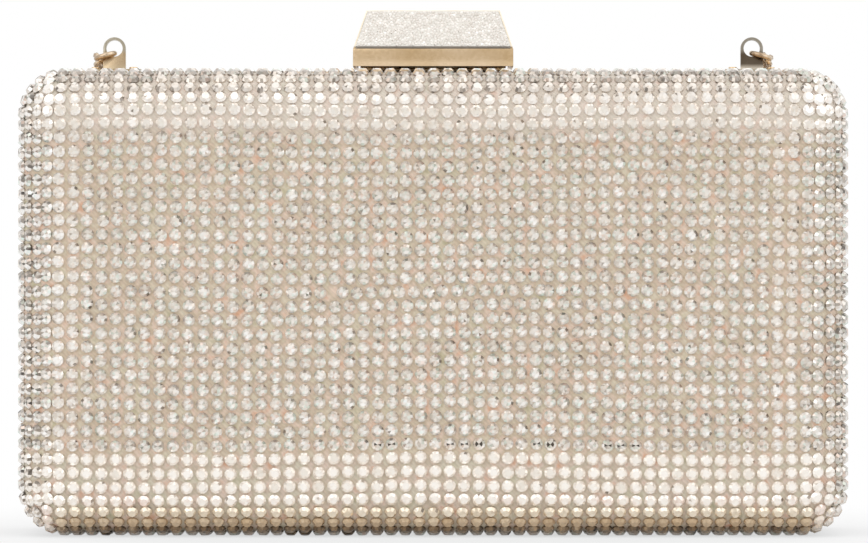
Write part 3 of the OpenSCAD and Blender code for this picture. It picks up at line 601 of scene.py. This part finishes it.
def painted_facet_light(places, axes, contrast, rng):
    """What each facet gives back as painted light and reflection, 0 dark to 1 white, by where it leans and
    where its stone sits.
    """
    leans = np.einsum("fk,nkj->nfj", stone_leans, axes)
    outside = np.where(places[:, 1] < 0, 1, -1)[:, None]
    up, across = leans[:, :, 2], leans[:, :, 0] * outside
    shape = up.shape
    ax, ay, az = axes[:, 2].T
    x, z = places[:, 0], places[:, 2]
    # Painted light: stones on the flat rows nearest the edges are painted brightest, those beyond the bend
    # duller
    border = painted_bright_rows(places, axes)
    # The round corners are painted brighter than the bends beside them
    corner = np.clip(4 * np.minimum(abs(ax), abs(az)), 0, 1)
    base = 0.74 + border * 0.24
    base -= (0.4 * np.clip(-az - 0.25, 0, 1) + 1.5 * np.clip(-az - 0.78, 0, 1)) * (1 - 0.6 * corner)
    base -= (0.43 * np.clip(az, 0, 1) ** 1.3 + np.where(ax < 0, 0.18, 0.12) * ax ** 2) * (1 - 0.8 * corner)
    base += 0.1 * corner - 0.06 * abs(ax)
    # On the flat top, bottom and sides they are painted as bright again as on the face
    flat = np.maximum(abs(ax), abs(az)) > 0.985
    base = np.where(flat, 0.7, base)
    # Each gets a painted flash at its lower right, and above the upper bend at its upper right
    turned = np.clip((az - 0.3) * 4, 0, 1) * ~flat * (1 - 0.8 * corner)
    swing = rng.normal(0, 0.35, len(axes)) - 0.93 * (1 - 2 * turned)
    reach = np.maximum(np.hypot(up, across), 1e-6)
    toward = (across * np.cos(swing)[:, None] + up * np.sin(swing)[:, None]) / reach
    calm = ((1 - border * 0.65) * (1 - 0.55 * turned) * (1 - 0.4 * (ax > 0.1)))[:, None] * contrast
    tones = base[:, None] + calm * 0.3 * np.clip((toward - 0.4) / 0.4, 0, 1)
    tones += calm * (0.1 * np.clip((-toward - 0.3) / 0.4, 0, 1) - 0.1 * (abs(toward) < 0.3))
    tones -= calm * 0.22 * (1 - 2 * turned)[:, None] * up * (reach > 0.5)
    tones += (0.3 * contrast + 0.7 * calm) * rng.normal(0, 0.075, shape)
    tones += contrast * rng.normal(0, 0.04, (len(axes), 1))
    # Stones on the sides get a painted dark line across the middle, a painted reflection of the table's
    # edge
    line = np.where(ax < 0, 0.4, 0.22) * np.clip(abs(ax) * 3 - 0.6, 0, 1) * ~flat
    tones -= contrast * line[:, None] * (abs(up) < 0.12)
    # Now and then a facet, mostly one at the upper right, gets a painted dark reflection
    chance = np.where(up + across > 0.45, 0.07, 0.006) * (1 - border * 0.8)[:, None]
    chance += 0.3 * (up > 0.1) * (az > -0.3)[:, None] * (1 - abs(ay))[:, None] * ~flat[:, None]
    chance += 0.4 * turned[:, None] * (toward < -0.8)
    # Down the left and right edge one stone after another gets a painted dark reflection as a spot on its
    # inner side
    inner = (abs(ax) > 0.62) & (abs(ax) < 0.93) & ~flat
    inner = inner * np.where(ax < 0, 0.7, 0.15)
    chance += inner[:, None] * (across * np.sign(ax * outside[:, 0])[:, None] < -0.2) * (abs(up) < 0.25)
    dark = rng.random(shape) < chance * contrast
    facing = abs(ay) > 0.9
    depth = rng.uniform(0.05, 0.42, shape) + (0.12 * turned + 0.12 * facing)[:, None]
    tones = np.where(dark, depth, tones)
    # In one row near the bottom the tables are painted grey, and some get a painted dash of the room's
    # dark reflection
    in_row = (abs(z - painted_dull_row_z) < row_pitch / 2) & facing & (contrast > 0.5)
    dash = in_row & (np.cos(x * 349 - 2.55) > 0.2) & (abs(x - 0.016) < 0.03)
    on_table = reach < 0.3
    tones = np.where(in_row[:, None] & on_table & (up < 0.15), tones * 0.75, tones)
    tones = np.where(dash[:, None] & on_table & (abs(up) < 0.13), 0.03, tones)
    tones = np.minimum(tones, 1 - 0.22 * turned[:, None])
    return np.clip(tones, 0, 1).reshape(-1)


crystal_glass, tree = new_material("crystal: foil backed glass")
tone = add_node(tree, "ShaderNodeAttribute", attribute_name="tone")
tint = add_node(tree, "ShaderNodeAttribute", attribute_name="tint")
# The tone's painted light: from the painted dark reflection of a facet that faces nothing, through silver
# foil, to a painted white flash
grey = add_node(tree, "ShaderNodeValToRGB", links={"Fac": tone.outputs["Fac"]})
colour_stops(grey, (0.0, "#3F3933"), (0.3, "#9A9188"), (0.6, "#D9D2CA"), (0.85, "#F6F2ED"),
             (1.0, "#FFFEFC"))
# Painted fire: some facets turn towards rose or sea green, and stones below the lower bend take a painted
# tan shade
fire = add_node(tree, "ShaderNodeValToRGB", links={"Fac": tint.outputs["Fac"]})
colour_stops(fire, (0.0, "#E2EFE9"), (0.15, "#FAFAFA"), (0.5, "#FBF8F5"), (0.62, "#FDF8F2"),
             (0.69, "#F4E2DA"), (0.74, "#F4ECDE"), (0.86, "#EBDDC6"), (1.0, "#CAAE88"))
colour = add_node(tree, "ShaderNodeMix", data_type="RGBA", blend_type="MULTIPLY", values={0: 1.0},
                  links={6: grey.outputs["Color"], 7: fire.outputs["Color"]})
glass = add_node(tree, "ShaderNodeBsdfPrincipled",
                 values={"Metallic": 0.6, "Roughness": 0.15, "Coat Weight": 0.6, "Coat Roughness": 0.02,
                         "Coat IOR": 1.54},
                 links={"Base Color": colour.outputs[2]})
add_node(tree, "ShaderNodeOutputMaterial", links={"Surface": glass.outputs[0]})


def crystal_piece(name, size, places, axes, contrast, rng, material=crystal_glass, lift=0.0):
    """One piece from all the stones of a field, with a tone of painted light and a tint of painted fire
    and shade on each facet.
    """
    points, faces = copies_mesh(stone_co * size, stone_faces, places, axes)
    piece = mesh_piece(name, points, faces)
    tones = np.clip(painted_facet_light(places, axes, contrast, rng) + lift, 0, 1)
    piece.data.attributes.new("tone", "FLOAT", "FACE").data.foreach_set("value", tones)
    across, up = abs(axes[:, 2, 0]), axes[:, 2, 2]
    # Stones below the lower bend get a painted tan shade, weaker at the corners, and those in the rows
    # painted bright a warm white
    tan = np.clip((-up - 0.2) / 0.6, 0, 1) * (up > -0.985)
    tan *= 1 - 0.6 * np.clip(4 * np.minimum(across, abs(up)), 0, 1)
    tints = rng.random((len(axes), len(stone_faces))) * 0.7
    tints += (0.61 - tints) * painted_bright_rows(places, axes)[:, None] * 0.9
    tints = (tints + (1 - tints) * tan[:, None]).reshape(-1)
    piece.data.attributes.new("tint", "FLOAT", "FACE").data.foreach_set("value", tints)
    piece.data.materials.append(material)
    return piece


for body, side, seed in (("front_case", -1, 11), ("back_case", 1, 12)):
    rng = np.random.default_rng(seed)
    places, normals = on_case(*stone_spots(rng))
    if side > 0:
        # The back half is the front half turned about the upright axis
        places, normals = places * [-1, -1, 1], normals * [-1, -1, 1]
    axes = stone_axes(normals, rng, 1.5)
    half = body.split("_")[0]
    stones = crystal_piece(half + "_crystals", 1.0, places, axes, 1.0, rng)
    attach(stones, body)
    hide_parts(half + "_crystal_skin")

# Frames
# Rims of cast zinc, gold plated and polished, pressed over the shells' mouths.
gold = plated_gold("frame and clasp: pale gold plated zinc", "#E2CAAA", "#D0B48C", 0.2, 0.6, 0.1)


def cut_away(piece, cutter):
    """Cuts one solid's shape out of a piece."""
    make_active(piece)
    cut = piece.modifiers.new("cut", "BOOLEAN")
    cut.operation, cut.solver, cut.object = "DIFFERENCE", "EXACT", cutter
    bpy.ops.object.modifier_apply(modifier=cut.name)
    bpy.data.objects.remove(cutter)


def refined(node_name, piece_name, material, width, steps=2, groove=None):
    """A CAD solid taken over with its edges rounded by width, as cast or tumbled metal has them."""
    mesh = frame["nodes"][node_name].data.copy()
    piece = bpy.data.objects.new(piece_name, mesh)
    mesh.name = piece_name
    scene.collection.objects.link(piece)
    mesh.materials.clear()
    make_active(piece)
    if mesh.has_custom_normals:
        bpy.ops.mesh.customdata_custom_splitnormals_clear()
    bpy.ops.object.mode_set(mode="EDIT")
    bpy.ops.mesh.select_all(action="SELECT")
    bpy.ops.mesh.remove_doubles(threshold=2e-6)
    bpy.ops.mesh.dissolve_limited(angle_limit=math.radians(0.5))
    bpy.ops.object.mode_set(mode="OBJECT")
    if groove is not None:
        cut_away(piece, groove)
    edges = piece.modifiers.new("edges", "BEVEL")
    edges.width, edges.segments, edges.limit_method = width, steps, "ANGLE"
    edges.angle_limit = math.radians(32)
    edges.use_clamp_overlap = True
    bpy.ops.object.modifier_apply(modifier=edges.name)
    bpy.ops.object.shade_smooth_by_angle(angle=math.radians(35))
    mesh.materials.append(material)
    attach(piece, frame["nodes"][node_name]["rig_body"])
    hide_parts(node_name)
    return piece


refined("back_frame", "back_rim", gold, 0.0002)
refined("front_frame", "front_rim", gold, 0.0002)

# Linings
# Boards wrapped in beige microsuede over thin foam, glued into each half, with a soft seam
# round the flat panel.
lining_in, lining_t, lining_mouth = 0.0034, 0.0016, 0.0066
# Brushed fibres make it fully matt; its clouds are a painted sheen, darker where the nap lies the other
# way
suede, tree = new_material("lining: microsuede")
where = add_node(tree, "ShaderNodeTexCoord").outputs["Object"]
painted_nap_sheen = add_node(tree, "ShaderNodeTexNoise", values={"Scale": 110.0, "Detail": 3.0, "Roughness": 0.55},
               links={"Vector": where})
# Suede fibres clump at about 0.4 mm
fibres = add_node(tree, "ShaderNodeTexNoise", values={"Scale": 2500.0, "Detail": 2.0},
                  links={"Vector": where})
shade = add_node(tree, "ShaderNodeMix", data_type="RGBA",
                 values={6: linear("#C9B79E"), 7: linear("#B5A187")}, links={0: painted_nap_sheen.outputs["Fac"]})
fleck = add_node(tree, "ShaderNodeMix", data_type="RGBA", blend_type="MULTIPLY", values={0: 0.35},
                 links={6: shade.outputs[2], 7: fibres.outputs["Fac"]})
relief = add_node(tree, "ShaderNodeBump", values={"Strength": 0.5, "Distance": 0.00015},
                  links={"Height": fibres.outputs["Fac"]})
brushed = add_node(tree, "ShaderNodeBsdfPrincipled",
                   values={"Roughness": 0.95, "Sheen Weight": 0.6, "Sheen Roughness": 0.5},
                   links={"Base Color": fleck.outputs[2], "Normal": relief.outputs[0]})
add_node(tree, "ShaderNodeOutputMaterial", links={"Surface": brushed.outputs[0]})

leaf_notch_half, leaf_notch_y, leaf_notch_z = 0.0603, 0.0123, 0.0043
for body, side in (("back_case", 1), ("front_case", -1)):
    half = body.split("_")[0]
    pad = half_case_sheet(half + "_pad", side, lining_in, lining_mouth, 8)
    thicken(pad, lining_t)
    floor_y = side * (half_d - lining_in - lining_t)
    pick(pad, "FACE", lambda face: abs(face.center.y - floor_y) < 1e-5 and abs(face.normal.y) > 0.99)
    # The seam sinks into the foam and the panel swells between its sides
    bpy.ops.mesh.inset(thickness=0.0012, depth=0.0)
    bpy.ops.mesh.inset(thickness=0.0005, depth=-0.0005)
    bpy.ops.mesh.inset(thickness=0.0007, depth=0.0004)
    bpy.ops.mesh.inset(thickness=0.0025, depth=0.0001)
    bpy.ops.object.mode_set(mode="OBJECT")
    # Room for the hinge leaf along the bottom
    deselect_all()
    bpy.ops.mesh.primitive_cube_add(size=1, location=(0, side * leaf_notch_y / 2, 0.0))
    notch = bpy.context.object
    notch.scale = (leaf_notch_half * 2, leaf_notch_y, leaf_notch_z * 2)
    apply_place(notch)
    cut_away(pad, notch)
    bpy.ops.object.shade_smooth_by_angle(angle=math.radians(50))
    pad.data.materials.append(suede)
    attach(pad, body)
    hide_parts(half + "_lining")

# Slip pocket
# A flat pocket of the same suede on the back lining, its top edge turned over and stitched.
pocket_w, pocket_h, pocket_z = 0.11, 0.062, 0.013
pocket_back_y = half_d - lining_in - lining_t - 0.0001
pocket_cloth_t, hem_cut = 0.0006, 0.0049


def pocket_y(x, z):
    """The pocket lies on the lining at its sewn edges and gapes a little at the top."""
    u = min(1, abs(x) / (pocket_w / 2))
    v = (z - pocket_z) / pocket_h
    return pocket_back_y - 0.0003 - 0.0016 * (1 - u * u) * max(0, min(1, v)) ** 1.5


deselect_all()
bpy.ops.mesh.primitive_grid_add(x_subdivisions=44, y_subdivisions=28, size=1,
                                location=(0, pocket_back_y, pocket_z + pocket_h / 2),
                                rotation=(math.pi / 2, 0, 0))
pocket = bpy.context.object
pocket.name = pocket.data.name = "back_slip_pocket"
pocket.scale = (pocket_w, pocket_h, 1)
apply_place(pocket)
for vertex in pocket.data.vertices:
    vertex.co.y = pocket_y(vertex.co.x, vertex.co.z)
# The turned hem doubles the cloth along the top
top_z = pocket_z + pocket_h
knots = pocket.data.vertices
pick(pocket, "EDGE", lambda edge: all(abs(knots[v].co.z - top_z) < 1e-6 for v in edge.vertices))
bpy.ops.mesh.extrude_region_move(TRANSFORM_OT_translate={"value": (0, -0.0006, 0.0001)})
bpy.ops.mesh.extrude_region_move(TRANSFORM_OT_translate={"value": (0, -0.0001, -0.0042)})
bpy.ops.object.mode_set(mode="OBJECT")
thicken(pocket, pocket_cloth_t, offset=0)
bpy.ops.object.shade_smooth_by_angle(angle=math.radians(60))
pocket.data.materials.append(suede)
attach(pocket, "back_case")
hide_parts("slip_pocket")

# Stitches of waxed thread, 2.2 mm long, along the hem and the three sewn sides
stitch_l, stitch_step, stitch_r, sew_in = 0.0022, 0.0031, 0.00024, 0.0016
deselect_all()
bpy.ops.mesh.primitive_uv_sphere_add(segments=6, ring_count=4, radius=1)
bead = bpy.context.object
bead_co = np.array([v.co for v in bead.data.vertices])
bead_faces = [tuple(p.vertices) for p in bead.data.polygons]
bpy.data.objects.remove(bead)
stitches = []
for z in (top_z - 0.0034, pocket_z + sew_in):
    for x in np.arange(-pocket_w / 2 + 0.003, pocket_w / 2 - 0.002, stitch_step):
        stitches.append((x, z, 1, 0))
for x in (-pocket_w / 2 + sew_in, pocket_w / 2 - sew_in):
    for z in np.arange(pocket_z + 0.0045, top_z - 0.006, stitch_step):
        stitches.append((x, z, 0, 1))
places = np.array([(x, pocket_y(x, z) - (0.0012 if z > top_z - 0.004 else 0.0004), z)
                   for x, z, dx, dz in stitches])
axes = np.array([[(dx * stitch_l / 2, 0, dz * stitch_l / 2), (0, stitch_r, 0),
                  (-dz * stitch_r, 0, dx * stitch_r)] for x, z, dx, dz in stitches])
points, faces = copies_mesh(bead_co, bead_faces, places, axes)
thread = mesh_piece("pocket_stitches", points, faces, smooth=True)
# Wax gives the twisted thread a half gloss
material, tree = new_material("thread: waxed polyester")
where = add_node(tree, "ShaderNodeTexCoord").outputs["Object"]
twist = add_node(tree, "ShaderNodeTexWave", bands_direction="DIAGONAL", values={"Scale": 900.0},
                 links={"Vector": where})
colour = add_node(tree, "ShaderNodeMix", data_type="RGBA",
                  values={6: linear("#D8C8AE"), 7: linear("#B9A688")}, links={0: twist.outputs["Fac"]})
waxed = add_node(tree, "ShaderNodeBsdfPrincipled", values={"Roughness": 0.45},
                 links={"Base Color": colour.outputs[2]})
add_node(tree, "ShaderNodeOutputMaterial", links={"Surface": waxed.outputs[0]})
thread.data.materials.append(material)
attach(thread, "back_case")

# Hinge
# Two leaves of rolled brass, riveted through the shells' floors, with five knuckles on one
# steel pin that runs along the bottom.
brass = plated_gold("hinge: lacquered brass", "#D8B878", "#BE9650", 0.3, 0.4, 0.2)
steel = plated_gold("pins and springs: drawn steel", "#D5D3CF", "#B4B1AC", 0.24, 0.3, 0.15)
for name, piece_name in (("back_hinge_leaf", "back_leaf"), ("front_hinge_leaf", "front_leaf")):
    refined(name, piece_name, brass, 0.00012)
for name, piece_name in (("back_leaf_rivets", "back_rivets"), ("front_leaf_rivets", "front_rivets")):
    refined(name, piece_name, gold, 0.00015, 3)
refined("hinge_pin", "hinge_rod", steel, 0.0002)

# Clasp base
# A bracket screwed to the back frame, with two ears for the clasp's pin.
refined("clasp_base", "clasp_bracket", gold, 0.00018)
refined("clasp_base_screws", "bracket_screws", gold, 0.0002, 3)
refined("clasp_pivot_pin", "clasp_rod", steel, 0.00015)

# Clasp spring
# A torsion spring of 0.6 mm steel wire round the clasp's pin, one leg on the bracket and one
# on the hook plate.
pivot_y, pivot_z = 0.005, 0.1108
wire_r, coil_mid_r = 0.0003, 0.0012
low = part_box("clasp_spring")[0]
coil_from, coil_to = -0.0054, 0.0054
spring_turns, turn_steps = 13, 14
line = [(coil_from, pivot_y + coil_mid_r, low.z + wire_r)]
count = spring_turns * turn_steps
for i in range(count + 1):
    angle = -math.pi / 2 * i / count + math.tau * spring_turns * i / count
    line.append((coil_from + (coil_to - coil_from) * i / count,
                 pivot_y + coil_mid_r * math.cos(angle), pivot_z - coil_mid_r * math.sin(angle)))
line.append((coil_to, low.y, line[-1][2]))
curve = bpy.data.curves.new("return_spring", "CURVE")
curve.dimensions = "3D"
spline = curve.splines.new("POLY")
spline.points.add(len(line) - 1)
for point, place in zip(spline.points, line):
    point.co = (*place, 1)
curve.bevel_depth = wire_r
curve.bevel_resolution = 1
curve.use_fill_caps = True
spring = bpy.data.objects.new("return_spring", curve)
scene.collection.objects.link(spring)
make_active(spring)
bpy.ops.object.convert(target="MESH")
spring = bpy.context.object
bpy.ops.object.shade_smooth_by_angle(angle=math.radians(50))
dress(spring, steel)
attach(spring, "back_case")
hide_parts("clasp_spring")

# Clasp cover
# One casting, polished and gold plated: a bar along the front and a ridge behind a sloping
# face. A fine step is cut where the bar meets the face, and is painted dark as shade, so that it reads as
# a dark line.
bar_top, face_front_y, clasp_half_w = 0.1114, -0.0127, 0.01835
face_h, face_lean, face_taper = 0.0092, 0.0068, 0.00295
face_angle = math.atan2(face_h, face_lean)
groove_w, groove_depth = 0.0005, 0.0016
deselect_all()
bpy.ops.mesh.primitive_cube_add(size=1, location=(0, 0, 0))
groove = bpy.context.object
groove.scale = (clasp_half_w * 2 + 0.002, groove_depth * 2, groove_w)
groove.location = (0, face_front_y, bar_top + groove_w / 2)
apply_place(groove)
lid = refined("clasp_cover", "clasp_lid", gold, 0.00022, 3, groove=groove)
# The rims round the sloping face are painted paler than the bar, a painted highlight, and the cut is
# painted dark brown as shade
for name, face_hex, deep_hex, rough in (
    ("clasp rims: pale gold plated zinc", "#EFE6D6", "#E2D2BA", 0.25),
    ("clasp step: gold plate left dull", "#75604B", "#57452F", 0.5),
):
    lid.data.materials.append(plated_gold(name, face_hex, deep_hex, rough, 0.6, 0.1))
for face in lid.data.polygons:
    near_face = face.center.y < face_front_y + face_lean + 0.0008
    if near_face and face.center.z > bar_top + groove_w + 0.0001:
        face.material_index = 1
    elif face.center.z > bar_top - 0.00005 and abs(face.center.y - face_front_y) < groove_depth:
        face.material_index = 2

# Clasp crystals
# A plate set into the sloping face and covered edge to edge with small crystals of about a
# millimetre, laid at random.
face_len = math.hypot(face_h, face_lean)
plate_border = 0.0005
plate_low, plate_high = plate_border, face_len - plate_border
slope_out = Vector((0, -math.sin(face_angle), math.cos(face_angle)))
slope_up = Vector((0, math.cos(face_angle), math.sin(face_angle)))
plate_origin = Vector((0, face_front_y, bar_top))
# The clay between them is matt, white and a little grainy
material, tree = new_material("crystal bed: white epoxy clay")
where = add_node(tree, "ShaderNodeTexCoord").outputs["Object"]
grain = add_node(tree, "ShaderNodeTexNoise", values={"Scale": 4000.0, "Detail": 2.0},
                 links={"Vector": where})
colour = add_node(tree, "ShaderNodeMix", data_type="RGBA",
                  values={6: linear("#F1EEE8"), 7: linear("#DDD8CE")}, links={0: grain.outputs["Fac"]})
clay = add_node(tree, "ShaderNodeBsdfPrincipled", values={"Roughness": 0.6, "IOR": 1.5},
                links={"Base Color": colour.outputs[2]})
add_node(tree, "ShaderNodeOutputMaterial", links={"Surface": clay.outputs[0]})
refined("clasp_crystal_plate", "crystal_bed", material, 0.0001)


def plate_half_width(along):
    """Half the plate's width at a height along the sloping face."""
    return clasp_half_w - plate_border - face_taper * along / face_len


rng = np.random.default_rng(21)
spots = []
tries = 0
small_r = 0.00042
while tries < 40000 and len(spots) < 900:
    tries += 1
    along_face = rng.uniform(plate_low + small_r * 0.8, plate_high - small_r * 0.8)
    limit = plate_half_width(along_face) - small_r * 0.8
    x = rng.uniform(-limit, limit)
    if all((x - a) ** 2 + (along_face - c) ** 2 > (small_r * 1.5) ** 2 for a, c in spots):
        spots.append((x, along_face))
small_scale = small_r / stone_r
places = np.array([tuple(plate_origin + slope_up * c + Vector((x, 0, 0)) + slope_out * 0.0003)
                   for x, c in spots])
normals = np.tile(np.array(slope_out), (len(spots), 1))
axes = stone_axes(normals, rng, 5)
# Crushed close together they scatter the light, so that their gloss is softer than the stones'
pave_glass = crystal_glass.copy()
pave_glass.name = "crystal: fine crushed pave"
for shader in pave_glass.node_tree.nodes:
    if shader.type == "BSDF_PRINCIPLED":
        shader.inputs["Metallic"].default_value = 0.35
        shader.inputs["Roughness"].default_value = 0.4
        shader.inputs["Coat Weight"].default_value = 0.25
        shader.inputs["Coat Roughness"].default_value = 0.2
    elif shader.type == "MIX":
        shader.inputs[0].default_value = 0.35
pave = crystal_piece("clasp_pave", small_scale, places, axes, 0.2, rng, pave_glass, 0.16)
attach(pave, "clasp")
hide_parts("clasp_crystal_plate")

# Clasp hook and keeper
# A bent steel hook screwed under the lid, and the keeper riveted to the front frame that it
# catches on.
refined("clasp_hook", "catch_hook", steel, 0.00018)
refined("hook_screws", "catch_screws", steel, 0.00015, 3)
refined("clasp_keeper", "catch_keeper", gold, 0.00015)
refined("keeper_rivets", "catch_rivets", gold, 0.0002, 3)

# Chain lugs
# Upright plates with a round eye, cast with their feet and riveted on top of the back frame.
lug_foot_z, lug_eye_z = 0.1065, 0.1135


def lug_plate(name, plate_hex, edge_hex, foot_hex):
    """Polished plate painted in bands by height, as painted reflections: its foot, face and eye differ in
    tone.
    """
    material, tree = new_material(name)
    where = add_node(tree, "ShaderNodeTexCoord").outputs["Object"]
    apart = add_node(tree, "ShaderNodeSeparateXYZ", links={"Vector": where})
    cloud = add_node(tree, "ShaderNodeTexNoise", values={"Scale": 420.0, "Detail": 3.0},
                     links={"Vector": where})
    height = add_node(tree, "ShaderNodeMapRange",
                      values={"From Min": lug_foot_z, "From Max": lug_eye_z},
                      links={"Value": apart.outputs["Z"]})
    tone = add_node(tree, "ShaderNodeValToRGB", links={"Fac": height.outputs[0]})
    colour_stops(tone, (0.0, foot_hex), (0.16, foot_hex), (0.3, plate_hex), (0.62, plate_hex),
                 (0.78, edge_hex), (1.0, edge_hex))
    worn = add_node(tree, "ShaderNodeMix", data_type="RGBA", blend_type="MULTIPLY", values={0: 0.25},
                    links={6: tone.outputs["Color"], 7: cloud.outputs["Fac"]})
    relief = add_node(tree, "ShaderNodeBump", values={"Strength": 0.1, "Distance": 0.00004},
                      links={"Height": cloud.outputs["Fac"]})
    metal = add_node(tree, "ShaderNodeBsdfPrincipled", values={"Metallic": 1.0, "Roughness": 0.22},
                     links={"Base Color": worn.outputs[2], "Normal": relief.outputs[0]})
    add_node(tree, "ShaderNodeOutputMaterial", links={"Surface": metal.outputs[0]})
    return material


# The bands are painted reflections: the right lug's face is painted dark over a pale foot, and both eyes
# are painted silvery grey
left_plate = lug_plate("left lug: pale gold plate", "#C9B292", "#C6BFB0", "#CDB999")
right_plate = lug_plate("right lug: gold plate with painted dark reflection", "#6A5E51", "#ABA59B", "#D2C6B5")
refined("left_chain_lug", "left_lug", left_plate, 0.0002, 3)
refined("right_chain_lug", "right_lug", right_plate, 0.0002, 3)
refined("lug_rivets", "lug_pins", gold, 0.0002, 3)
